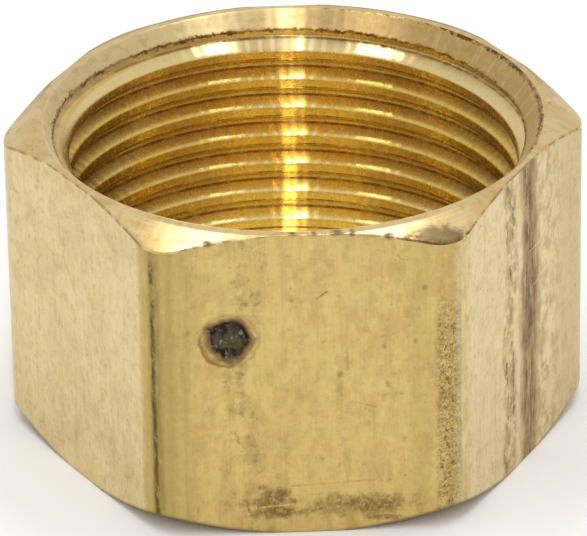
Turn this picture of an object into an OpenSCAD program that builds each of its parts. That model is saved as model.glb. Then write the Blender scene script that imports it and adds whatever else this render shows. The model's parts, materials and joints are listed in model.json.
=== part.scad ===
// Brass pipe cap: one piece of hexagon bar, bored blind, countersunk and threaded from its open end.
// Millimetres, +Z up. The origin is the centre of the closed end, which the cap stands on, and the
// thread axis is Z. One flat faces -Y.

/* [Hexagon] */
// Size across flats, which the spanner grips
across_flats = 22.225; // [21.6:0.025:24]
// Height from the closed end to the rim
height = 14.3; // [13.6:0.1:24]
// Radius of the rounded long edges of the hexagon
corner_r = 2.05; // [0.5:0.05:4]

/* [Chamfers] */
// Diameter at which the chamfer starts on the rim
rim_outer_d = 22.4; // [22.3:0.05:22.8]
// Slope of the rim chamfer down from the rim plane, in degrees
rim_chamfer = 28.5; // [15:0.5:40]
// Diameter at which the chamfer starts on the closed end
base_outer_d = 22.35; // [22.3:0.05:22.8]
// Slope of the closed end's chamfer up from its face, in degrees
base_chamfer = 34.5; // [15:0.5:40]

/* [Bore] */
// Depth of the blind bore below the rim
bore_depth = 11.9; // [11.7:0.1:12.4]
// Bore diameter, which is also the minor diameter of the thread
thread_minor_d = 19.4; // [19.2:0.05:19.6]
// Diameter of the countersink at the rim
countersink_d = 21.55; // [21:0.05:21.8]
// Included angle of the countersink, in degrees
countersink_angle = 75; // [60:5:100]

/* [Thread] */
// Major diameter at the root of the groove
thread_major_d = 20.68; // [20.4:0.02:20.8]
// Pitch of the single-start right-hand thread, 18 turns to the inch
pitch = 1.411; // [1.3:0.001:1.6]
// Angle between the two flanks, in degrees
flank_angle = 60; // [55:5:60]
// Width of the flat at the root of the groove
root_flat = 0.2; // [0.1:0.02:0.22]
// Depth below the rim of the groove's centre where it faces the +Y side, second turn
thread_phase = 2.47; // [2:0.01:3.4]
// Depth below the rim where the groove has run out
thread_end = 11.1; // [10:0.1:11.3]

/* [Hidden] */

$fn = 96;
cut = 1; // how far a cutter reaches past the face that it opens

flat_r = across_flats / 2;
rim_r = rim_outer_d / 2;
base_r = base_outer_d / 2;
bore_r = thread_minor_d / 2;
countersink_r = countersink_d / 2;
countersink_depth = (countersink_r - bore_r) / tan(countersink_angle / 2);

// The rounded hexagon: centre of each corner's arc, and its farthest point from the axis
corner_at = (flat_r - corner_r) / cos(30);
corner_reach = corner_at + corner_r;
blank_r = corner_reach + 1;

// The groove's cutter starts in the open countersink and reaches into the bore
groove_r = thread_major_d / 2;
cutter_r = bore_r - 0.35;
steps_per_turn = 40;
start_depth = -0.2;
groove_turns = (thread_end - start_depth) / pitch;
groove_steps = round(groove_turns * steps_per_turn);
run_out_steps = steps_per_turn / 4;
start_angle = 90 + 360 * (thread_phase - start_depth) / pitch;

// Root radius of the groove at a step: full depth, then rising out of the wall over a quarter turn
function root_r(step) =
    groove_r - (groove_r - bore_r + 0.1) * max(0, 1 - (groove_steps - step) / run_out_steps);

// Half the groove's width at radius r, for a groove whose root is at radius root
function half_width(root, r) = root_flat / 2 + (root - r) * tan(flank_angle / 2);

// The groove's section at a step, as [radius, offset along the axis]
function groove_section(step) =
    let (root = root_r(step))
    [[cutter_r, -half_width(root, cutter_r)], [root, -root_flat / 2],
     [root, root_flat / 2], [cutter_r, half_width(root, cutter_r)]];

function groove_points() = [
    for (step = [0 : groove_steps])
        let (angle = start_angle - 360 * step / steps_per_turn,
             z = height - start_depth - pitch * step / steps_per_turn)
        for (corner = groove_section(step))
            [corner[0] * cos(angle), corner[0] * sin(angle), z + corner[1]]
];

// Two triangles for each side of each step, and two that close each end
function groove_faces() = concat(
    [[0, 1, 2], [0, 2, 3]],
    [for (step = [0 : groove_steps - 1], side = [0 : 3])
        let (a = 4 * step + side, b = 4 * step + (side + 1) % 4)
        for (face = [[a, a + 4, b + 4], [a, b + 4, b]]) face],
    let (last = 4 * groove_steps) [[last, last + 2, last + 1], [last, last + 3, last + 2]]
);

module hexagon_outline() {
    polygon([
        for (corner = [0 : 5], side = [-30, 30])
            corner_at * [cos(60 * corner), sin(60 * corner)]
                + corner_r * [cos(60 * corner + side), sin(60 * corner + side)]
    ]);
    for (corner = [0 : 5])
        rotate(60 * corner) translate([corner_at, 0]) circle(r = corner_r);
}

// Outline of the turned blank, with the chamfer at each end
module blank_profile() {
    rim_drop = (blank_r - rim_r) * tan(rim_chamfer);
    base_rise = (blank_r - base_r) * tan(base_chamfer);
    polygon([
        [0, 0], [base_r, 0], [blank_r, base_rise],
        [blank_r, height - rim_drop], [rim_r, height], [0, height]
    ]);
}

// Outline of the blind bore and its countersink
module bore_profile() {
    floor_z = height - bore_depth;
    spread = cut * tan(countersink_angle / 2);
    polygon([
        [0, floor_z], [bore_r, floor_z], [bore_r, height - countersink_depth],
        [countersink_r + spread, height + cut], [0, height + cut]
    ]);
}

module thread_groove() {
    polyhedron(points = groove_points(), faces = groove_faces(), convexity = 10);
}

module cap_body() {
    color("goldenrod")
    difference() {
        intersection() {
            linear_extrude(height = height) hexagon_outline();
            rotate_extrude() blank_profile();
        }
        rotate_extrude() bore_profile();
        thread_groove();
    }
}

cap_body();
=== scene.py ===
"""A brass pipe cap, open end up, in a pale light tent.

The cap is one closed mesh. Each column of its grid is the cap's outline at one angle: bore floor,
threaded wall, countersink, rim, chamfer, flat, lower chamfer and base. The rows on the thread follow
its helix. Sizes are in millimetres, and the mesh is scaled to metres when it is made.
"""

import json
import math

import bpy
import numpy as np
from mathutils import Matrix, Vector, noise


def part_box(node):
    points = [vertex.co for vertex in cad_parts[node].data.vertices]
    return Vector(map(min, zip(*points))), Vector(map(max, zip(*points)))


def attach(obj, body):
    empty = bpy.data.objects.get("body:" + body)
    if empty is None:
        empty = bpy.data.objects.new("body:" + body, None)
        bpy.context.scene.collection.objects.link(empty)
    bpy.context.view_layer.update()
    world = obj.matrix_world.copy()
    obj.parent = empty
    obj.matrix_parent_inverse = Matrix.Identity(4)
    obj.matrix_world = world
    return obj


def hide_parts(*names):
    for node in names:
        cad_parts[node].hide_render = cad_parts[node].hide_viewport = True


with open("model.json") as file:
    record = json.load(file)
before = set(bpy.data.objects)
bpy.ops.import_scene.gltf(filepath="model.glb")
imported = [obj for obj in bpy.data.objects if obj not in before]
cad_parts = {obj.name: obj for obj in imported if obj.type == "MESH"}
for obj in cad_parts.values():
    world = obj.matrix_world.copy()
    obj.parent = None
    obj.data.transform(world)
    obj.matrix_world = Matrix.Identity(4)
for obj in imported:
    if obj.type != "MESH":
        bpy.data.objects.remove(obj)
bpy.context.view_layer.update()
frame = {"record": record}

MM = 0.001

# Sizes that the frame gives
LOW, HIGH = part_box("cap_body")
HEIGHT = (HIGH.z - LOW.z) / MM
FLAT_R = (HIGH.y - LOW.y) / 2 / MM
CORNER_REACH = (HIGH.x - LOW.x) / 2 / MM
THREAD = next(m for m in frame["record"]["mounts"] if m["name"] == "thread")
BORE_R = THREAD["dims"]["r_mm"]

# Hexagon and chamfers
SECTOR = math.pi / 3
COS_HALF = math.cos(SECTOR / 2)
CORNER_R = (FLAT_R - CORNER_REACH * COS_HALF) / (1 - COS_HALF)
CORNER_AT = CORNER_REACH - CORNER_R
CORNER_ANGLE = math.atan2(CORNER_R / 2, CORNER_AT + CORNER_R * COS_HALF)
RIM_R = 11.2
RIM_SLOPE = math.tan(math.radians(28.5))
BASE_R = 11.175
BASE_SLOPE = math.tan(math.radians(34.5))
LEAST_CHAMFER = 0.05  # width of the broken edge where a flat reaches the rim

# Bore, countersink and thread
FLOOR_Z = HEIGHT - 11.9
FLOOR_FILLET = 0.3
COUNTERSINK_R = 10.775
COUNTERSINK_SLOPE = math.tan(math.radians(37.5))
COUNTERSINK_FOOT = HEIGHT - (COUNTERSINK_R - BORE_R) / COUNTERSINK_SLOPE
PITCH = 1.411
GROOVE_R = 10.34
ROOT_FLAT = 0.2
FLANK_SLOPE = math.tan(math.radians(60))
CREST_EDGE = ROOT_FLAT / 2 + (GROOVE_R - BORE_R) / FLANK_SLOPE
GROOVE_Z = HEIGHT - 2.47  # centre of the second groove, on the +Y side
THREAD_END_Z = HEIGHT - 11.1
TORN_BACK = 0.12  # of the edge between the countersink and the first groove, on average
# Height of that torn edge above the groove's centre at the countersink's foot, and what it loses of it
# for each unit of height above the foot
LIP_OFFSET = CREST_EDGE + TORN_BACK
LIP_SLOPE = COUNTERSINK_SLOPE / FLANK_SLOPE

# Mesh: columns in each corner and on each flat
CORNER_COLUMNS = 12
FLAT_COLUMNS = 36
BACK, BACK_COLUMNS = 1, 64  # the flats are counted from the one between corners 0 and 1
FRONT, FRONT_COLUMNS = 4, 84

# Mesh: rows at these distances above and below the centre of each groove
UPPER_ROWS = [0.09, 0.11, 0.20, 0.27, 0.33, 0.39, 0.43, 0.46, 0.49, 0.54, 0.64]
LOWER_ROWS = [0.09, 0.11, 0.20, 0.30, 0.37, 0.42, 0.46, 0.50, 0.55, 0.64]
PITCH_ROWS = sorted([0.0] + UPPER_ROWS + [-row for row in LOWER_ROWS])
TURNS = range(-9, 4)  # of the thread, counted from the groove at GROOVE_Z
THREAD_ROWS_FROM = FLOOR_Z + 0.45
THREAD_ROWS_TO = HEIGHT - 0.4
THREAD_KEY, WALL_KEY = 1000, 2000  # rows are numbered from these on the thread and past it
THREAD_KEYS = range(THREAD_KEY + TURNS.start * len(PITCH_ROWS), WALL_KEY)
HUB_R = 0.6  # where the rows end on the bore's floor and on the base
EDGE_BREAK = 0.07  # how far an edge's rounding reaches along each of its sides

BORE, TURNED, DRAWN = range(3)  # material slots

# The pit in the front flat: its middle, and each side's direction and distance from there
PIT = Vector((-3.22, -FLAT_R, 9.38))
PIT_SIDES = [
    (Vector((math.cos(math.radians(a)), 0, math.sin(math.radians(a)))), reach)
    for a, reach in ((104, 0.98), (32, 0.90), (-32, 0.84), (200, 0.84), (223, 0.76))
]
PIT_R = 0.94  # of a circle: the outline runs midway between it and the sides
PIT_DEPTH = 0.36

# Spots on the front flat: x, z, half width, height over width, and strength
FRONT_SPOTS = [
    (1.42, 7.60, 0.13, 1.3, 0.7), (5.01, 11.62, 0.12, 1.0, 0.7), (3.42, 7.06, 0.10, 1.4, 0.6),
    (-0.60, 11.2, 0.09, 1.0, 0.5), (1.72, 8.20, 0.06, 9.0, 0.55), (1.40, 6.80, 0.18, 3.0, 0.45),
    (3.30, 8.90, 0.09, 1.2, 0.5), (4.60, 9.10, 0.09, 1.4, 0.5), (2.60, 5.20, 0.09, 1.3, 0.5),
    (-4.95, 9.80, 0.10, 1.0, 0.5), (0.60, 3.60, 0.12, 1.0, 0.4), (4.10, 4.40, 0.10, 1.5, 0.45),
]
# Stains along its lower edge: x, z, half width, half height, and strength
FRONT_STAINS = [
    (-1.95, 2.28, 0.16, 0.14, 0.8), (-1.30, 1.90, 0.50, 0.26, 0.95), (-1.60, 1.52, 1.20, 0.22, 0.90),
    (-1.35, 1.02, 0.95, 0.30, 0.95), (1.88, 1.38, 0.16, 0.16, 1.0), (1.40, 1.32, 0.60, 0.16, 0.7),
    (2.75, 1.22, 1.35, 0.52, 0.85), (3.10, 0.62, 0.80, 0.14, 0.8), (0.90, 1.62, 0.50, 0.15, 0.35),
    (1.70, 1.26, 1.90, 0.52, 0.62),
]
# Dark lines on it: start, end, and strength
FRONT_LINES = [
    ((-0.7, 2.28), (2.9, 2.46), 0.45), ((-0.7, 1.80), (1.0, 1.86), 0.35),
    ((0.45, 11.23), (0.91, 11.59), 0.8), ((1.9, 6.3), (2.9, 6.0), 0.5),
]
# Nicks in its upper edge: x and half width
RIM_NICKS = [(-4.05, 0.16), (-0.5, 0.14), (0.4, 0.08), (1.35, 0.22), (2.0, 0.12), (3.55, 0.18)]

# Bright scratches on the right flat, from start to end
RIGHT_SCRATCHES = [((-2.7, 9.5), (-0.7, 9.65)), ((0.4, 10.0), (2.8, 10.05)), ((0.9, 8.2), (2.2, 8.5))]
# Middle of the painted dark reflection on the chamfer
CHAMFER_DARK_REFLECTION = Vector((5.7, -10.75, HEIGHT - 0.55))  # on the chamfer by the front right corner
CHATTER_MARKS = 110.0  # in one turn of the bore


# ---------------------------------------------------------------- outline of the cap

def smooth_max(a, b, blend):
    """The larger of a and b, with the corner where they cross rounded over the width blend."""
    gap = max(blend - abs(a - b), 0) / blend
    return max(a, b) + gap * gap * blend / 4


def wavy(point, scale, seed):
    """Smooth noise from -1 to 1 at a point in millimetres."""
    return noise.noise(Vector(point) * scale + Vector((seed, seed * 1.7, -seed)))


def torn(angle):
    """How far the first groove's upper edge is torn back at an angle, in millimetres."""
    around = (math.cos(angle), math.sin(angle), 0)
    much = 0.04 + 0.12 * max(wavy(around, 1.6, 2.3) + 0.25, 0)
    return TORN_BACK + much * (wavy(around, 34, 4.1) + 0.6 * wavy(around, 75, 9.7))


def outline_radius(angle):
    """Distance from the axis to the rounded hexagon, whose corners lie at multiples of 60 degrees."""
    off = abs((angle + SECTOR / 2) % SECTOR - SECTOR / 2)
    if off < CORNER_ANGLE:
        return CORNER_AT * math.cos(off) + math.sqrt(CORNER_R**2 - (CORNER_AT * math.sin(off)) ** 2)
    return FLAT_R / math.cos(SECTOR / 2 - off)


def bore_radius(z, angle):
    """Radius of the threaded wall and countersink at height z: the wall, or the groove where deeper.
    The tap rounded the crest's upper corner and tore the edge that the countersink cuts."""
    turns = (z - GROOVE_Z) / PITCH - (angle - math.pi / 2) / (2 * math.pi)
    offset = (turns - round(turns)) * PITCH
    run_out = min(max((z - offset - THREAD_END_Z) / (PITCH / 4), 0), 1)
    root = BORE_R - 0.1 + (GROOVE_R - BORE_R + 0.1) * run_out
    flat = ROOT_FLAT / 2
    if offset > 0 and z > COUNTERSINK_FOOT - 0.1:
        flat += torn(angle)
    groove = root - smooth_max(abs(offset) - flat, 0, 0.02) * FLANK_SLOPE
    wall = BORE_R + smooth_max(z - COUNTERSINK_FOOT, 0, 0.05) * COUNTERSINK_SLOPE
    return smooth_max(wall, groove, 0.03 if offset > 0 else 0.15)


def rounded(corners, fractions, reach):
    """Points along a polyline: at fractions[i] of side i, and two more round each inner corner."""
    corners = np.array(corners, float)
    sides = np.diff(corners, axis=0)
    lengths = np.linalg.norm(sides, axis=1)
    units = sides / lengths[:, None]
    trims = [0.0] + [min(reach, 0.4 * a, 0.4 * b) for a, b in zip(lengths, lengths[1:])] + [0.0]
    points = []
    for i, steps in enumerate(fractions):
        start = corners[i] + units[i] * trims[i]
        end = corners[i + 1] - units[i] * trims[i + 1]
        points.extend(start + (end - start) * t for t in steps)
        if i + 1 < len(fractions):
            after = corners[i + 1] + units[i + 1] * trims[i + 1]
            for t in (1 / 3, 2 / 3):
                points.append((1 - t) ** 2 * end + 2 * t * (1 - t) * corners[i + 1] + t * t * after)
    return points


def even(count):
    return np.linspace(0, 1, count)


# Sides of the outline past the thread, as (rows, material): countersink, rim, chamfer, flat, lower
# chamfer and base. The flat's rows are closer together beside the pit.
FLAT_ROWS = np.concatenate([even(9) * 0.20, 0.215 + even(17) * 0.20, 0.435 + even(25) * 0.565])
SIDES = [
    (even(3), BORE),
    (even(3), TURNED),
    (even(6), TURNED),
    (FLAT_ROWS, DRAWN),
    (even(5), TURNED),
    (even(4), TURNED),
]


def column(angle):
    """The outline at one angle, from the bore's floor to the base, as (key, radius, height) rows."""
    rows = []
    floor_corners = [(HUB_R, FLOOR_Z), (BORE_R, FLOOR_Z), (BORE_R, THREAD_ROWS_FROM)]
    floor = rounded(floor_corners, [even(5), even(2)], FLOOR_FILLET)
    rows.extend((key, r, z) for key, (r, z) in enumerate(floor))

    turn_z = GROOVE_Z + PITCH * (angle - math.pi / 2) / (2 * math.pi)
    for turn in TURNS:
        for i, offset in enumerate(PITCH_ROWS):
            z = turn_z + turn * PITCH + offset
            if THREAD_ROWS_FROM + 0.01 < z < THREAD_ROWS_TO - 0.01:
                key = THREAD_KEY + turn * len(PITCH_ROWS) + i
                rows.append((key, bore_radius(z, angle), z))

    reach = outline_radius(angle)
    rim = min(RIM_R, reach - LEAST_CHAMFER)
    base = min(BASE_R, reach - LEAST_CHAMFER)
    foot = THREAD_ROWS_TO
    outer = rounded(
        [
            (bore_radius(foot, angle), foot),
            (COUNTERSINK_R, HEIGHT),
            (rim, HEIGHT),
            (reach, HEIGHT - (reach - rim) * RIM_SLOPE),
            (reach, (reach - base) * BASE_SLOPE),
            (base, 0),
            (HUB_R, 0),
        ],
        [steps for steps, _ in SIDES],
        EDGE_BREAK,
    )
    rows.extend((WALL_KEY + i, r, z) for i, (r, z) in enumerate(outer))
    return rows


def column_angles():
    """Angles of the columns: closer together round each corner and on the front and back flats."""
    arc = np.linspace(-CORNER_ANGLE, CORNER_ANGLE, CORNER_COLUMNS, endpoint=False)
    angles = []
    for k in range(6):
        count = {FRONT: FRONT_COLUMNS, BACK: BACK_COLUMNS}.get(k, FLAT_COLUMNS)
        flat = np.linspace(CORNER_ANGLE, SECTOR - CORNER_ANGLE, count, endpoint=False)
        angles.extend(SECTOR * k + np.concatenate([arc, flat]))
    return angles


def row_materials():
    """Material of each row past the thread, by key."""
    slots = []
    for steps, slot in SIDES:
        slots.extend([slot] * (len(steps) + 2))
    return {WALL_KEY + i: slot for i, slot in enumerate(slots)}


def stitch(left, right, faces, slots, slot_of):
    """Faces between two columns of (key, vertex) rows: a quad where both have the next row, or else
    a triangle."""
    i = j = 0
    while i + 1 < len(left) or j + 1 < len(right):
        next_left = left[i + 1][0] if i + 1 < len(left) else math.inf
        next_right = right[j + 1][0] if j + 1 < len(right) else math.inf
        a, b = left[i][1], right[j][1]
        slots.append(slot_of.get(left[i][0], BORE))
        if next_left == next_right:
            faces.append((a, left[i + 1][1], right[j + 1][1], b))
            i, j = i + 1, j + 1
        elif next_left < next_right:
            faces.append((a, left[i + 1][1], b))
            i += 1
        else:
            faces.append((a, right[j + 1][1], b))
            j += 1


def cap_mesh():
    """Points in millimetres, faces and material slots of the whole cap."""
    angles = column_angles()
    points, columns = [], []
    for angle in angles:
        numbered = []
        for key, r, z in column(angle):
            numbered.append((key, len(points)))
            points.append((r * math.cos(angle), r * math.sin(angle), z))
        columns.append(numbered)

    # One turn on, the same row of the thread is one pitch higher, so its number is a pitch lower
    per_pitch = len(PITCH_ROWS)
    wrapped = [
        (key - per_pitch if key in THREAD_KEYS else key, vertex)
        for key, vertex in columns[0]
    ]
    faces, slots, slot_of = [], [], row_materials()
    for left, right in zip(columns, columns[1:] + [wrapped]):
        stitch(left, right, faces, slots, slot_of)

    for end, z, slot in ((0, FLOOR_Z, BORE), (-1, 0.0, TURNED)):
        centre = len(points)
        points.append((0.0, 0.0, z))
        ring = [rows[end][1] for rows in columns]
        for a, b in zip(ring, ring[1:] + ring[:1]):
            faces.append((centre, a, b) if end == 0 else (centre, b, a))
            slots.append(slot)
    return np.array(points), faces, slots


# ---------------------------------------------------------------- wear, as moves of the mesh

def fade(distance, inner, outer):
    """1 where distance is under inner, 0 where it is over outer, smooth between."""
    t = min(max((outer - distance) / (outer - inner), 0), 1)
    return t * t * (3 - 2 * t)


def pit_depth(point):
    """Depth of the ragged pit in the front flat at a point."""
    away = point - PIT
    outside = max(away.x * out.x + away.z * out.z - reach for out, reach in PIT_SIDES)
    outside = (outside + math.hypot(away.x, away.z) - PIT_R) / 2 + 0.05 * wavy(point, 1.6, 5.0)
    floor = 0.75 + 0.25 * wavy(point, 4.0, 7.0)
    return PIT_DEPTH * fade(outside, -0.42, 0.10) * floor


def chamfer_edge(x):
    """Height of the lower edge of the rim's chamfer on the front flat."""
    return HEIGHT - (math.hypot(x, FLAT_R) - RIM_R) * RIM_SLOPE


def nick_depth(point):
    """Depth of the nicks along the edge between the front flat and its chamfer at a point."""
    off_edge = math.hypot(point.y + FLAT_R, point.z - chamfer_edge(point.x))
    depth = 0
    for x, half in RIM_NICKS:
        across = fade(abs(point.x - x), half * 0.4, half)
        depth += across * fade(off_edge, 0.04, 0.20) * (0.08 + 0.04 * wavy(point, 6.0, 1.0))
    return depth


def worn(points):
    """The points with the waves, pit and nicks of a cap cut from drawn bar."""
    moved = points.copy()
    for i, (x, y, z) in enumerate(points):
        r = math.hypot(x, y)
        if r < RIM_R - 0.5:
            continue
        point = Vector((x, y, z))
        depth = 0.010 * (1 + wavy((x, y, z * 0.08), 0.9, 3.1)) + 0.008 * (1 + wavy(point, 0.35, 8.2))
        if y < -FLAT_R + 0.9:
            depth += pit_depth(point) + nick_depth(point)
        moved[i] -= np.array((x / r, y / r, 0.0)) * depth
    return moved


# ---------------------------------------------------------------- materials

def srgb(red, green, blue):
    """A colour given as 0 to 255, in the linear values that the nodes take."""
    def linear(v):
        v /= 255
        return v / 12.92 if v <= 0.04045 else ((v + 0.055) / 1.055) ** 2.4
    return (linear(red), linear(green), linear(blue), 1.0)


def on_front(x, z):
    """A place on the front flat."""
    return Vector((x, -FLAT_R, z))


def on_right(across, z):
    """A place on the flat to the right of the front one, measured across it from its middle."""
    out, side = math.radians(-30), math.radians(60)
    return Vector((
        FLAT_R * math.cos(out) + across * math.cos(side),
        FLAT_R * math.sin(out) + across * math.sin(side),
        z,
    ))


class Shader:
    """Builds one material's nodes. Each method returns the socket that it makes."""

    def __init__(self, name):
        self.material = bpy.data.materials.new(name)
        self.material.use_nodes = True
        self.nodes = self.material.node_tree.nodes
        self.links = self.material.node_tree.links
        self.surface = self.nodes["Principled BSDF"]
        coordinates = self.nodes.new("ShaderNodeTexCoord")
        self.point = self.scaled(coordinates.outputs["Object"], (1 / MM,) * 3)
        self.x, self.y, self.z = self.add("ShaderNodeSeparateXYZ", [self.point]).outputs
        squares = self.math("ADD", self.times(self.x, self.x), self.times(self.y, self.y))
        self.radius = self.math("SQRT", squares)
        self.angle = self.math("ARCTAN2", self.y, self.x)

    def add(self, kind, inputs, **settings):
        node = self.nodes.new(kind)
        for name, value in settings.items():
            setattr(node, name, value)
        for i, value in enumerate(inputs):
            self.put(node.inputs[i], value)
        return node

    def put(self, socket, value):
        if isinstance(value, bpy.types.NodeSocket):
            self.links.new(value, socket)
        elif value is not None:
            socket.default_value = value

    def math(self, operation, a, b=0.0, c=0.0):
        return self.add("ShaderNodeMath", [a, b, c], operation=operation).outputs[0]

    def vector(self, operation, a, b):
        return self.add("ShaderNodeVectorMath", [a, b], operation=operation)

    def scaled(self, vector, scale):
        return self.vector("MULTIPLY", vector, scale).outputs[0]

    def join(self, x, y, z):
        return self.add("ShaderNodeCombineXYZ", [x, y, z]).outputs[0]

    def noise(self, vector, scale, detail=3.0, roughness=0.55):
        node = self.nodes.new("ShaderNodeTexNoise")
        self.put(node.inputs["Vector"], vector)
        node.inputs["Scale"].default_value = scale
        node.inputs["Detail"].default_value = detail
        node.inputs["Roughness"].default_value = roughness
        return node.outputs["Fac"]

    def veins(self, scale, low, high):
        """Fine crooked lines, where a noise crosses its middle value."""
        off = self.math("ABSOLUTE", self.math("SUBTRACT", self.noise(self.point, scale, 4.0, 0.6), 0.5))
        return self.ramp(off, low, high, 1.0, 0.0)

    def ramp(self, value, low, high, start=0.0, end=1.0):
        """start where value is low, end where it is high, with smooth ends."""
        node = self.add(
            "ShaderNodeMapRange", [value, low, high, start, end], interpolation_type="SMOOTHSTEP"
        )
        return node.outputs[0]

    def mix(self, factor, a, b):
        node = self.nodes.new("ShaderNodeMix")
        node.data_type = "RGBA"
        self.put(node.inputs["Factor"], factor)
        self.put(node.inputs[6], a)
        self.put(node.inputs[7], b)
        return node.outputs[2]

    def most(self, *masks):
        largest = masks[0]
        for mask in masks[1:]:
            largest = self.math("MAXIMUM", largest, mask)
        return largest

    def times(self, *factors):
        product = factors[0]
        for factor in factors[1:]:
            product = self.math("MULTIPLY", product, factor)
        return product

    def band(self, value, centre, half, edge):
        """1 where value is within half of centre, fading to 0 over edge."""
        off = self.math("ABSOLUTE", self.math("SUBTRACT", value, centre))
        return self.ramp(off, half, half + edge, 1.0, 0.0)

    def spot(self, centre, half, soft=0.5, wobble=0.0):
        """An oval spot of the given half sizes; wobble is added to the distance, as a fraction."""
        stretch = Vector([1 / size for size in half])
        away = self.scaled(self.vector("SUBTRACT", self.point, centre).outputs[0], stretch)
        distance = self.math("ADD", self.vector("LENGTH", away, None).outputs["Value"], wobble)
        return self.ramp(distance, 1 - soft, 1 + soft, 1.0, 0.0)

    def stroke(self, start, end, half, edge):
        """A straight mark from start to end, fading to 0 over edge at its sides and ends."""
        along = end - start
        away = self.vector("SUBTRACT", self.point, start).outputs[0]
        part = self.vector("DOT_PRODUCT", away, along / along.length_squared).outputs["Value"]
        part = self.math("MINIMUM", self.math("MAXIMUM", part, 0.0), 1.0)
        foot = self.scaled(self.join(part, part, part), along)
        off = self.vector("DISTANCE", away, foot).outputs["Value"]
        return self.ramp(off, half, half + edge, 1.0, 0.0)

    def along(self, azimuth):
        """Distance out from the axis towards an azimuth in degrees."""
        azimuth = math.radians(azimuth)
        return self.math(
            "ADD", self.times(self.x, math.cos(azimuth)), self.times(self.y, math.sin(azimuth))
        )

    def below_rim_chamfer(self):
        """Distance down a flat from the lower edge of the rim's chamfer."""
        drop = self.times(self.math("SUBTRACT", self.radius, RIM_R), RIM_SLOPE)
        return self.math("SUBTRACT", self.math("SUBTRACT", HEIGHT, drop), self.z)

    def above_base_chamfer(self):
        """Distance up a flat from the upper edge of the base's chamfer."""
        rise = self.times(self.math("SUBTRACT", self.radius, BASE_R), BASE_SLOPE)
        return self.math("SUBTRACT", self.z, rise)

    def bump(self, height, distance, normal=None):
        node = self.nodes.new("ShaderNodeBump")
        node.inputs["Strength"].default_value = 1.0
        node.inputs["Distance"].default_value = distance * MM
        self.put(node.inputs["Height"], height)
        if normal is not None:
            self.put(node.inputs["Normal"], normal)
        return node.outputs[0]

    def turned(self, amount):
        """Fine tool marks that run round the axis, which spread a highlight across themselves."""
        tangent = self.add("ShaderNodeTangent", [], direction_type="RADIAL", axis="Z")
        self.surface.inputs["Anisotropic"].default_value = amount
        self.surface.inputs["Anisotropic Rotation"].default_value = 0.25
        self.put(self.surface.inputs["Tangent"], tangent.outputs[0])

    def finish(self, colour, roughness, normal):
        self.surface.inputs["Metallic"].default_value = 1.0
        self.put(self.surface.inputs["Base Color"], colour)
        self.put(self.surface.inputs["Roughness"], roughness)
        self.put(self.surface.inputs["Normal"], normal)
        return self.material


def pit_distances(s):
    """Distance outside the pit's outline and distance from its middle, with the same slight waves."""
    away_x, away_z = s.math("SUBTRACT", s.x, PIT.x), s.math("SUBTRACT", s.z, PIT.z)
    from_middle = s.vector("LENGTH", s.join(away_x, away_z, 0.0), None).outputs["Value"]
    past_sides = s.most(*[
        s.math("SUBTRACT", s.math("ADD", s.times(away_x, out.x), s.times(away_z, out.z)), reach)
        for out, reach in PIT_SIDES
    ])
    outside = s.times(s.math("ADD", past_sides, s.math("SUBTRACT", from_middle, PIT_R)), 0.5)
    waves = s.ramp(s.noise(s.point, 1.8, 2.0), 0.3, 0.7, -0.06, 0.06)
    return s.math("ADD", outside, waves), s.math("ADD", from_middle, waves)


def pit_colours(s, colour, front):
    """The pit: dark inside with a greenish floor, painted glints inside and a painted highlight along
    its upper right edge, and a stained ring round it.
    """
    outside, from_middle = pit_distances(s)
    left = s.ramp(s.math("SUBTRACT", s.x, PIT.x), 0.5, -0.5)
    lower_left = s.times(left, s.ramp(s.math("SUBTRACT", s.z, PIT.z), 0.6, -0.3))
    stain = s.times(front, s.ramp(from_middle, 1.16, 1.36, 1.0, 0.0))
    patchy = s.ramp(s.noise(s.point, 2.4, 3.0, 0.6), 0.38, 0.58, 0.35, 1.0)
    colour = s.mix(s.times(stain, patchy, 0.55), colour, srgb(172, 148, 92))
    colour = s.mix(s.times(stain, patchy, lower_left, 0.60), colour, srgb(160, 124, 78))
    ring = s.band(from_middle, 1.24, 0.01, 0.10)
    ring = s.times(front, ring, s.ramp(lower_left, 0.0, 0.6, 0.35, 1.0))
    colour = s.mix(s.times(ring, 0.6), colour, srgb(120, 92, 54))

    uneven = s.ramp(patchy, 0.4, 1.0, -0.5, 0.5)
    floor = s.spot(PIT + Vector((0.10, 0, -0.12)), (0.42, 2.0, 0.34), 1.0, uneven)
    inside = s.mix(s.ramp(s.noise(s.point, 3.0, 2.0), 0.36, 0.66), srgb(46, 36, 34), srgb(92, 78, 68))
    inside = s.mix(floor, inside, srgb(92, 90, 58))
    # Painted glints inside the pit
    glints = s.ramp(s.noise(s.point, 4.0, 3.0, 0.6), 0.58, 0.68)
    inside = s.mix(s.times(glints, 0.7), inside, srgb(158, 148, 132))

    edge = s.times(front, s.band(outside, 0.04, 0.03, 0.12))
    colour = s.mix(s.times(edge, 0.6), colour, srgb(120, 88, 60))
    pit = s.times(front, s.ramp(outside, -0.14, 0.08, 1.0, 0.0))
    colour = s.mix(pit, colour, inside)
    # Painted highlight along the pit's upper right edge
    edge_glint = s.stroke(PIT + Vector((0.42, 0, 0.72)), PIT + Vector((0.78, 0, 0.34)), 0.02, 0.07)
    return s.mix(s.times(front, edge_glint, 0.8), colour, srgb(236, 218, 176)), pit


def nick_colours(s, colour):
    """Darker in the nicks of the edge between the front flat and its chamfer."""
    nicks = s.most(*[
        s.spot(on_front(x, chamfer_edge(x)), (half, 0.4, 0.12), 0.6) for x, half in RIM_NICKS
    ])
    return s.mix(s.times(nicks, 0.8), colour, srgb(98, 76, 44))


def dark_edge_line(s, distance, patchy):
    """A thin dark line along an edge of the front half, broken up by patchy."""
    front_half = s.ramp(s.y, 1.0, -1.0)
    return s.times(front_half, s.ramp(distance, 0.03, 0.11, 1.0, 0.0), s.ramp(patchy, 0.36, 0.56))


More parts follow.
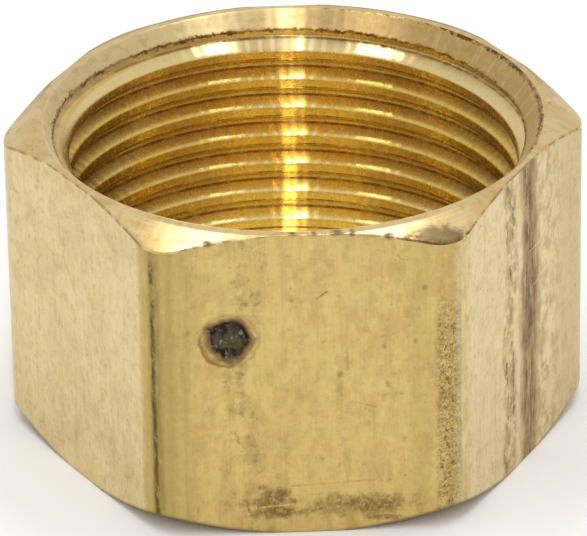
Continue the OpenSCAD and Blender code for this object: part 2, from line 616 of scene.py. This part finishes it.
def front_tarnish_and_reflection(s, colour, front, lines):
    """The front flat: yellow tarnish with a painted darker reflection, brown and olive clouds, darker
    beside its corners.
    """
    # Yellow tarnish and a painted darker reflection over the whole front flat
    colour = s.mix(front, colour, srgb(217, 191, 120))
    clouds = s.noise(s.scaled(s.point, (1.0, 1.0, 0.7)), 0.8, 5.0, 0.62)
    colour = s.mix(s.times(front, s.ramp(clouds, 0.46, 0.64), 0.55), colour, srgb(198, 166, 104))
    colour = s.mix(s.times(front, s.ramp(clouds, 0.50, 0.36), 0.35), colour, srgb(206, 186, 108))
    left_side = s.times(front, s.ramp(s.x, -3.8, -5.4))
    colour = s.mix(s.times(left_side, 0.6), colour, srgb(190, 166, 98))
    grey_line = s.times(front, s.band(s.x, -5.05, 0.08, 0.16), s.ramp(lines, 0.34, 0.56))
    colour = s.mix(s.times(grey_line, 0.5), colour, srgb(170, 148, 104))
    right_side = s.times(front, s.band(s.x, 4.75, 0.20, 0.50), s.ramp(lines, 0.30, 0.60, 0.4, 1.0))
    return s.mix(s.times(right_side, 0.45), colour, srgb(190, 168, 98))


def front_stains(s, patchy, grain):
    """Stains and lines on the front flat, as a strength from 0 to 1."""
    ragged = s.ramp(patchy, 0.3, 0.7, 0.45, -0.45)
    spots = [
        s.times(s.spot(on_front(x, z), (half_x, 2.0, half_z), 0.5, ragged), strength)
        for x, z, half_x, half_z, strength in FRONT_STAINS
    ]
    smear = s.times(s.stroke(on_front(-0.4, 0.98), on_front(1.7, 1.34), 0.03, 0.16), 0.75)
    stain = s.times(s.most(*spots, smear), s.ramp(grain, 0.36, 0.60, 0.55, 1.0))
    for start, end, strength in FRONT_LINES:
        line = s.stroke(on_front(*start), on_front(*end), 0.0, 0.08)
        stain = s.most(stain, s.times(line, s.ramp(patchy, 0.35, 0.60, 0.2, 1.0), strength))
    clean = s.stroke(on_front(-2.0, 1.27), on_front(-0.6, 1.40), 0.02, 0.06)
    return s.math("SUBTRACT", stain, s.times(clean, stain, 0.8))


def front_marks(s, colour, front, patchy, grain):
    """The front flat: a trail of dots above and below the pit, single spots, and stains."""
    lean = s.times(s.math("ABSOLUTE", s.math("SUBTRACT", s.z, 7.5)), 0.12)
    trail = s.times(front, s.band(s.math("SUBTRACT", s.x, lean), -2.95, 0.30, 0.55))
    colour = s.mix(s.times(trail, s.ramp(patchy, 0.44, 0.62), 0.45), colour, srgb(164, 140, 88))
    dots = s.times(s.ramp(s.noise(s.point, 3.4, 4.0, 0.65), 0.53, 0.64), s.ramp(patchy, 0.44, 0.58))
    colour = s.mix(s.times(trail, dots, 0.65), colour, srgb(134, 108, 56))

    spots = s.most(*[
        s.times(s.spot(on_front(x, z), (half, 2.0, half * stretch), 0.8), strength)
        for x, z, half, stretch, strength in FRONT_SPOTS
    ])
    spots = s.times(front, spots, s.ramp(grain, 0.34, 0.56, 0.4, 1.0))
    colour = s.mix(spots, colour, srgb(132, 108, 56))
    stain = s.times(front, front_stains(s, patchy, grain))
    return s.mix(stain, colour, srgb(118, 88, 46)), stain


def corner_specks(s, colour, lines, patchy):
    """Tarnish and specks between the front flat and the front right corner."""
    side = s.times(s.ramp(s.x, 6.62, 6.52), s.ramp(s.y, -9.7, -10.0))
    colour = s.mix(s.times(side, s.ramp(s.x, 5.6, 6.4), 0.6), colour, srgb(188, 160, 92))
    side = s.times(s.ramp(s.x, 5.30, 5.75), side, s.ramp(s.z, 12.2, 9.5, 0.10, 1.0))
    colour = s.mix(s.times(side, s.ramp(lines, 0.40, 0.60), 0.45), colour, srgb(172, 150, 98))
    dots = s.ramp(s.noise(s.point, 4.4, 4.0, 0.65), 0.54, 0.63)
    dots = s.most(dots, s.times(s.veins(4.5, 0.01, 0.04), 0.6))
    specks = s.times(side, dots, s.ramp(patchy, 0.30, 0.46))
    return s.mix(s.times(specks, 0.85), colour, srgb(112, 88, 44)), specks


def crease_colours(s, colour, lines):
    """The drawing crease along the front left corner, with tarnish on both sides of it."""
    at = s.math("ADD", s.x, s.ramp(s.noise(s.point, 0.8), 0.3, 0.7, -0.03, 0.03))
    facing = s.ramp(s.y, -9.2, -9.7)
    beside = s.times(facing, s.band(s.x, -6.05, 0.30, 0.45), s.ramp(lines, 0.36, 0.58))
    colour = s.mix(s.times(beside, 0.45), colour, srgb(168, 142, 88))
    broken = s.noise(s.scaled(s.point, (1.0, 1.0, 0.5)), 2.6, 4.0, 0.75)
    heavy = s.ramp(s.z, 12.0, 4.0, -0.03, 0.08)
    depth = s.ramp(s.math("ADD", broken, heavy), 0.40, 0.60, 0.25, 1.0)
    wide = s.times(facing, s.band(at, -6.34, 0.10, 0.26), s.ramp(depth, 0.2, 1.0, 0.55, 1.0))
    colour = s.mix(s.times(wide, 0.70), colour, srgb(144, 122, 68))
    narrow = s.times(facing, s.band(at, -6.42, 0.02, 0.13), depth)
    return s.mix(s.times(narrow, 0.85), colour, srgb(92, 74, 38))


def right_marks(s, colour, patchy):
    """The right flat: paler as a painted lighter reflection, with brown streaks that run the whole
    height, and a few bright scratches.
    """
    right = s.ramp(s.along(-30), 10.75, 10.95)
    across = s.along(60)
    wander = s.math("ADD", across, s.ramp(s.noise(s.point, 0.40, 4.0), 0.3, 0.7, -0.22, 0.22))
    # Painted lighter reflection: the right flat paler than the front
    colour = s.mix(s.times(right, 0.5), colour, srgb(230, 214, 170))
    haze = s.times(right, s.band(wander, 1.9, 1.2, 1.6), s.ramp(patchy, 0.40, 0.62))
    colour = s.mix(s.times(haze, 0.65), colour, srgb(180, 154, 100))
    far = s.times(right, s.ramp(across, 2.2, 4.5))
    colour = s.mix(s.times(far, 0.8), colour, srgb(204, 182, 130))

    fibres = s.noise(s.scaled(s.point, (1.0, 1.0, 0.22)), 3.0, 5.0, 0.7)
    clumps = s.noise(s.scaled(s.point, (1.0, 1.0, 0.5)), 1.5, 4.0, 0.7)
    soft = s.times(right, s.band(wander, 0.50, 0.45, 0.65), s.ramp(fibres, 0.30, 0.55, 0.55, 1.0))
    colour = s.mix(s.times(soft, 0.90), colour, srgb(150, 118, 56))
    core = s.times(right, s.band(wander, 0.50, 0.22, 0.50), s.ramp(fibres, 0.40, 0.56))
    core = s.times(core, s.ramp(clumps, 0.38, 0.58, 0.35, 1.0))
    colour = s.mix(s.times(core, 0.92), colour, srgb(87, 62, 19))

    weak_band = s.times(right, s.band(wander, -1.35, 0.25, 0.50))
    colour = s.mix(s.times(weak_band, s.ramp(patchy, 0.38, 0.58), 0.75), colour, srgb(172, 142, 88))
    weak_core = s.times(weak_band, s.ramp(fibres, 0.50, 0.60), s.ramp(patchy, 0.44, 0.54))
    colour = s.mix(s.times(weak_core, 0.90), colour, srgb(96, 73, 29))

    scratches = s.most(*[
        s.stroke(on_right(*start), on_right(*end), 0.012, 0.035) for start, end in RIGHT_SCRATCHES
    ])
    return s.mix(s.times(right, scratches, 0.4), colour, srgb(246, 234, 200))


def drawn_brass():
    """The flats: bar as it was drawn, with lengthwise die lines, tarnish, specks and a pit."""
    s = Shader("brass_drawn")
    line_space = s.scaled(s.point, (1.0, 1.0, 0.06))
    lines = s.noise(line_space, 1.7, 5.0, 0.65)
    fine = s.noise(line_space, 9.0, 3.0, 0.6)
    patchy = s.noise(s.scaled(s.point, (1.0, 1.0, 0.8)), 1.6, 6.0, 0.68)
    mottle = s.noise(s.point, 3.0, 5.0, 0.75)
    grain = s.noise(s.point, 6.0, 4.0, 0.7)
    clouds = s.noise(s.point, 0.45, 5.0, 0.65)
    streaky = s.noise(s.scaled(s.point, (1.0, 1.0, 0.3)), 2.0, 5.0, 0.7)
    front = s.ramp(s.y, -10.0, -10.4)

    colour = s.mix(s.ramp(clouds, 0.35, 0.65), srgb(228, 209, 158), srgb(219, 197, 142))
    colour = front_tarnish_and_reflection(s, colour, front, lines)
    colour, stain = front_marks(s, colour, front, patchy, grain)
    colour, specks = corner_specks(s, colour, lines, patchy)
    colour = right_marks(s, colour, patchy)

    colour = s.mix(s.ramp(lines, 0.54, 0.74, 0.0, 0.25), colour, srgb(174, 152, 100))
    colour = s.mix(s.ramp(patchy, 0.48, 0.66, 0.0, 0.34), colour, srgb(186, 160, 106))
    colour = s.mix(s.ramp(mottle, 0.50, 0.68, 0.0, 0.32), colour, srgb(172, 146, 92))
    colour = s.mix(s.times(front, s.ramp(streaky, 0.48, 0.66), 0.35), colour, srgb(176, 148, 88))
    colour = s.mix(s.ramp(fine, 0.50, 0.72, 0.0, 0.17), colour, srgb(182, 156, 100))
    colour = s.mix(s.ramp(mottle, 0.48, 0.32, 0.0, 0.14), colour, srgb(240, 226, 178))
    scattered = s.times(s.ramp(grain, 0.62, 0.70), s.ramp(patchy, 0.46, 0.58))
    colour = s.mix(s.times(scattered, 0.6), colour, srgb(138, 112, 62))

    colour = crease_colours(s, colour, lines)
    colour, pit = pit_colours(s, colour, front)
    top_edge_line = dark_edge_line(s, s.below_rim_chamfer(), patchy)
    colour = s.mix(s.times(top_edge_line, 0.65), colour, srgb(124, 98, 56))
    colour = nick_colours(s, colour)
    # Painted shade: a dark line along the bottom edge of the flats
    base_edge_shade = s.ramp(s.above_base_chamfer(), 0.02, 0.16, 1.0, 0.0)
    colour = s.mix(s.times(base_edge_shade, 0.55), colour, srgb(128, 108, 62))

    marks = s.most(specks, stain, pit)
    roughness = s.math("ADD", s.ramp(fine, 0.3, 0.7, 0.34, 0.46), s.times(marks, 0.12))
    relief = s.math("ADD", s.times(fine, 0.4), s.times(mottle, 1.2))
    relief = s.math("SUBTRACT", relief, s.times(marks, 1.2))
    return s.finish(colour, roughness, s.bump(relief, 0.02))


def chamfer_line_and_reflection(s, colour, patchy, grain):
    """A dark line along the edges of the rim's chamfer, and a painted dark reflection by the front right
    corner, darkest along its lower edge.
    """
    hexagon = s.most(*[s.math("ABSOLUTE", s.along(azimuth)) for azimuth in (30, 90, 150)])
    inward = s.math("SUBTRACT", FLAT_R, hexagon)
    top = s.ramp(s.z, HEIGHT - 1.0, HEIGHT - 0.9)
    edge_line = s.times(top, dark_edge_line(s, inward, patchy))
    colour = s.mix(s.times(edge_line, 0.6), colour, srgb(124, 96, 54))

    # Painted dark reflection on the chamfer by the front right corner, darkest along its lower edge
    ragged = s.ramp(patchy, 0.3, 0.7, 0.35, -0.35)
    grey = s.spot(CHAMFER_DARK_REFLECTION, (1.45, 0.66, 2.0), 0.35, ragged)
    grey = s.times(top, grey, s.ramp(s.radius, 11.35, 11.75))
    colour = s.mix(s.times(grey, 0.85), colour, srgb(124, 104, 72))
    dark = s.times(grey, s.ramp(inward, 0.42, 0.10), s.ramp(grain, 0.36, 0.58, 0.5, 1.0))
    return s.mix(s.times(dark, 0.8), colour, srgb(92, 72, 42))


def turned_brass():
    """The rim, chamfers and base: faced in the lathe, with fine rings about the axis."""
    s = Shader("brass_turned")
    rings = s.noise(s.join(s.radius, 0.0, s.z), 9.0, 2.0, 0.5)
    spokes = s.noise(s.join(s.times(s.angle, RIM_R), 0.0, 0.0), 2.2, 2.0, 0.5)
    patches = s.noise(s.point, 0.6, 4.0, 0.6)
    patchy = s.noise(s.point, 1.8, 5.0, 0.65)
    grain = s.noise(s.point, 5.0, 4.0, 0.7)
    colour = s.mix(s.ramp(patches, 0.35, 0.65), srgb(238, 211, 154), srgb(228, 196, 132))
    colour = s.mix(s.ramp(spokes, 0.50, 0.66, 0.0, 0.30), colour, srgb(248, 226, 174))
    colour = s.mix(s.ramp(patchy, 0.48, 0.64, 0.0, 0.40), colour, srgb(200, 166, 102))
    specks = s.times(s.ramp(grain, 0.60, 0.70), s.ramp(patchy, 0.42, 0.56))
    colour = s.mix(s.times(specks, 0.65), colour, srgb(150, 118, 64))

    # Painted shade along the outer edge of the rim on the far side
    far_edge_shade = s.times(s.ramp(s.y, 1.0, 5.0), s.ramp(s.radius, RIM_R - 0.16, RIM_R - 0.04))
    colour = s.mix(s.times(far_edge_shade, 0.65), colour, srgb(132, 112, 78))
    colour = nick_colours(s, colour)
    colour = chamfer_line_and_reflection(s, colour, patchy, grain)
    # Painted shade on the lower chamfer, which faces down
    underside_shade = s.ramp(s.z, 1.0, 0.6)
    colour = s.mix(s.times(underside_shade, 0.65), colour, srgb(130, 108, 60))

    relief = s.math("ADD", rings, s.math("ADD", s.times(grain, 0.6), s.times(spokes, 0.5)))
    s.turned(0.6)
    return s.finish(colour, s.ramp(rings, 0.3, 0.7, 0.26, 0.38), s.bump(relief, 0.006))


def above_groove(s):
    """Height above the centre of the nearest groove."""
    turns = s.math("ADD", s.times(s.z, 1 / PITCH), -GROOVE_Z / PITCH + 0.25)
    turns = s.math("SUBTRACT", turns, s.times(s.angle, 1 / math.tau))
    return s.times(s.math("SUBTRACT", turns, s.math("ROUND", turns)), PITCH)


def painted_chatter_highlights(s, colour, chatter, offset, first_flank, thread):
    """Painted light on the thread: the first flank painted paler than the rest and a little less pale at
    the back, and painted highlights in beads where the chatter crosses the back of the first flank and
    the crests' edges.
    """
    facing = s.band(s.angle, math.pi / 2 + 0.03, 0.20, 0.12)
    bead_highlights = s.times(facing, s.ramp(chatter, 0.25, 0.85))
    crest_edge = s.band(offset, -CREST_EDGE, 0.03, 0.09)
    # Painted light: the first flank paler than the rest of the thread
    colour = s.mix(first_flank, colour, srgb(244, 220, 156))
    colour = s.mix(s.times(facing, first_flank, 0.7), colour, srgb(240, 212, 150))
    # Painted highlights: beads along the chatter on the first flank and on the crests' edges
    colour = s.mix(s.times(bead_highlights, first_flank), colour, srgb(255, 240, 194))
    return s.mix(s.times(bead_highlights, crest_edge, thread, 0.8), colour, srgb(255, 238, 184))


def countersink_colours(s, colour, mouth, mottle):
    """The countersink: painted light makes it paler than the thread and paler still towards -X, with
    streaks down its slope, tarnish and flecks.
    """
    spokes = s.noise(s.join(s.times(s.angle, BORE_R), 0.0, 0.0), 2.2, 2.0, 0.5)
    # Painted light: pale brass, lighter towards -X than towards +X
    cone = s.mix(s.ramp(s.x, -4.0, 4.0), srgb(255, 232, 174), srgb(228, 194, 126))
    cone = s.mix(s.ramp(spokes, 0.50, 0.64, 0.0, 0.35), cone, srgb(255, 236, 184))
    cone = s.mix(s.ramp(mottle, 0.47, 0.66, 0.0, 0.4), cone, srgb(214, 178, 110))
    colour = s.mix(mouth, colour, cone)
    flecks = s.times(mouth, s.ramp(s.noise(s.point, 2.6, 4.0, 0.7), 0.54, 0.64))
    return s.mix(s.times(flecks, 0.3), colour, srgb(252, 234, 184))


def thread_shade(s, colour, offset, above_foot, thread):
    """Painted shade: dark lines at the foot of each crest and in the root, and under the torn lip."""
    patchy_shade = s.ramp(s.noise(s.point, 1.1, 4.0, 0.7), 0.36, 0.56, 0.45, 1.0)
    # Painted shade at the foot of each crest and in the root, broken up by noise
    crest_foot = s.times(thread, s.band(offset, CREST_EDGE + 0.01, 0.03, 0.04), patchy_shade)
    colour = s.mix(s.times(crest_foot, 0.85), colour, srgb(122, 76, 18))
    root = s.times(thread, s.band(offset, -0.13, 0.02, 0.04), patchy_shade)
    colour = s.mix(s.times(root, 0.75), colour, srgb(122, 78, 18))

    # Painted shade under the torn lip
    from_lip = s.math("ADD", s.math("SUBTRACT", offset, LIP_OFFSET), s.times(above_foot, LIP_SLOPE))
    teeth = s.ramp(s.noise(s.point, 3.4, 4.0, 0.7), 0.35, 0.65, -0.13, 0.10)
    lip = s.band(s.math("ADD", from_lip, teeth), -0.10, 0.10, 0.05)
    lip = s.times(lip, s.ramp(above_foot, -0.15, -0.05))
    ragged = s.ramp(s.noise(s.point, 0.9, 3.0, 0.6), 0.36, 0.60, 0.30, 0.90)
    return s.mix(s.times(lip, ragged), colour, srgb(112, 76, 28))


def bored_brass():
    """The bore, thread and countersink: bright, with the tap's chatter marks along the axis."""
    s = Shader("brass_bored")
    offset = above_groove(s)
    above_foot = s.math("SUBTRACT", s.z, COUNTERSINK_FOOT)
    mouth = s.ramp(above_foot, 0.25, 0.7)
    wall = s.ramp(s.radius, 9.2, 9.5)
    thread = s.times(wall, s.math("SUBTRACT", 1.0, mouth))
    first = s.times(s.ramp(above_foot, -0.75, -0.55), s.ramp(above_foot, 0.35, 0.25))
    first_flank = s.times(first, s.band(offset, -0.30, 0.20, 0.08))
    sway = s.ramp(s.noise(s.point, 0.25), 0.3, 0.7, -1.2, 1.2)
    chatter = s.times(wall, s.math("SINE", s.math("ADD", s.times(s.angle, CHATTER_MARKS), sway)))
    patches = s.noise(s.point, 0.5, 4.0, 0.6)
    mottle = s.noise(s.scaled(s.point, (1.0, 1.0, 2.0)), 1.6, 4.0, 0.65)
    grain = s.noise(s.point, 4.0, 3.0, 0.65)

    colour = s.mix(s.ramp(patches, 0.35, 0.65), srgb(243, 214, 120), srgb(238, 204, 102))
    colour = s.mix(s.ramp(mottle, 0.50, 0.72, 0.0, 0.25), colour, srgb(222, 186, 102))
    colour = s.mix(s.times(thread, s.ramp(chatter, 0.0, 1.0, 0.0, 0.15)), colour, srgb(214, 176, 104))
    colour = s.mix(s.ramp(s.z, 10.5, 12.5, 0.0, 0.5), colour, srgb(216, 178, 88))
    # Painted light: paler towards the bore's floor
    colour = s.mix(s.ramp(s.z, 8.0, 3.5), colour, srgb(254, 232, 148))
    colour = painted_chatter_highlights(s, colour, chatter, offset, first_flank, thread)
    colour = countersink_colours(s, colour, mouth, mottle)
    colour = thread_shade(s, colour, offset, above_foot, thread)

    s.turned(1.0)
    middle = s.band(s.angle, math.pi / 2 + 0.08, 0.08, 0.12)
    dulled = s.math("ADD", s.times(mouth, 0.18), s.times(middle, first_flank, 0.30))
    roughness = s.math("ADD", s.ramp(grain, 0.4, 0.7, 0.23, 0.30), dulled)
    normal = s.bump(chatter, 0.0012)
    on_floor = s.math("SUBTRACT", 1.0, wall)
    rings = s.times(on_floor, s.noise(s.join(s.radius, 0.0, 0.0), 5.0, 2.0))
    relief = s.math("ADD", s.times(mottle, 0.6), s.math("ADD", s.times(grain, 0.3), s.times(rings, 2.0)))
    normal = s.bump(relief, 0.0015, normal)
    return s.finish(colour, roughness, normal)


# ---------------------------------------------------------------- objects, lights and camera

CAP_MIDDLE = Vector((0, 0, HEIGHT / 2 * MM))
LIGHT_DISTANCE = 0.5


def make_cap():
    points, faces, slots = cap_mesh()
    mesh = bpy.data.meshes.new("cap")
    mesh.from_pydata(worn(points) * MM, [], faces)
    mesh.polygons.foreach_set("material_index", slots)
    mesh.shade_smooth()
    for material in (bored_brass(), turned_brass(), drawn_brass()):
        mesh.materials.append(material)
    mesh.update()
    cap = bpy.data.objects.new("cap", mesh)
    bpy.context.scene.collection.objects.link(cap)
    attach(cap, "root")
    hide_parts("cap_body")
    return cap


def make_floor():
    size = 0.6
    mesh = bpy.data.meshes.new("floor")
    mesh.from_pydata(
        [(-size, -size, 0), (size, -size, 0), (size, size, 0), (-size, size, 0)], [], [(0, 1, 2, 3)]
    )
    floor = bpy.data.objects.new("floor", mesh)
    bpy.context.scene.collection.objects.link(floor)
    material = bpy.data.materials.new("floor_white")
    material.use_nodes = True
    surface = material.node_tree.nodes["Principled BSDF"]
    surface.inputs["Base Color"].default_value = (0.92, 0.92, 0.92, 1)
    surface.inputs["Roughness"].default_value = 0.9
    mesh.materials.append(material)


def direction(azimuth, elevation):
    """Unit vector at an azimuth and elevation in degrees. Azimuth 0 is in front and 90 is +X."""
    azimuth, elevation = math.radians(azimuth), math.radians(elevation)
    return Vector((
        math.sin(azimuth) * math.cos(elevation),
        -math.cos(azimuth) * math.cos(elevation),
        math.sin(elevation),
    ))


def make_light(name, azimuth, elevation, width, height, radiance):
    """A rectangular softbox that faces the cap."""
    light = bpy.data.lights.new(name, "AREA")
    light.shape = "RECTANGLE"
    light.size, light.size_y = width, height
    light.energy = radiance * math.pi * width * height
    lamp = bpy.data.objects.new(name, light)
    away = direction(azimuth, elevation)
    lamp.location = CAP_MIDDLE + away * LIGHT_DISTANCE
    lamp.rotation_euler = away.to_track_quat("Z", "Y").to_euler()
    bpy.context.scene.collection.objects.link(lamp)


def make_camera():
    """A long lens from the front, 27.8 degrees above the horizon and 2 degrees round to -X."""
    distance, roll = 0.2671, math.radians(-0.98)
    camera = bpy.data.cameras.new("camera")
    camera.sensor_width = 36.0
    camera.lens = 375.1
    camera.shift_x, camera.shift_y = -0.0028961, -0.0098126
    camera.clip_start, camera.clip_end = 0.01, 10.0
    view = bpy.data.objects.new("camera", camera)
    away = direction(-2.04, 27.85)
    turn = away.to_track_quat("Z", "Y").to_matrix() @ Matrix.Rotation(roll, 3, "Z")
    view.matrix_world = Matrix.Translation(CAP_MIDDLE + away * distance) @ turn.to_4x4()
    bpy.context.scene.collection.objects.link(view)
    bpy.context.scene.camera = view


def make_studio():
    world = bpy.data.worlds.new("light_tent")
    world.use_nodes = True
    tent = world.node_tree.nodes["Background"]
    tent.inputs["Color"].default_value = (1.0, 1.0, 1.0, 1.0)
    tent.inputs["Strength"].default_value = 0.75
    bpy.context.scene.world = world
    bpy.context.scene.view_settings.view_transform = "Standard"
    make_light("overhead_left", -107, 72.5, 0.18, 0.08, 7.0)
    make_light("overhead_right", 107, 72.5, 0.18, 0.08, 7.0)
    make_light("front_strip", 0, 55, 0.017, 0.40, 25.0)


make_camera()
make_cap()
make_floor()
make_studio()
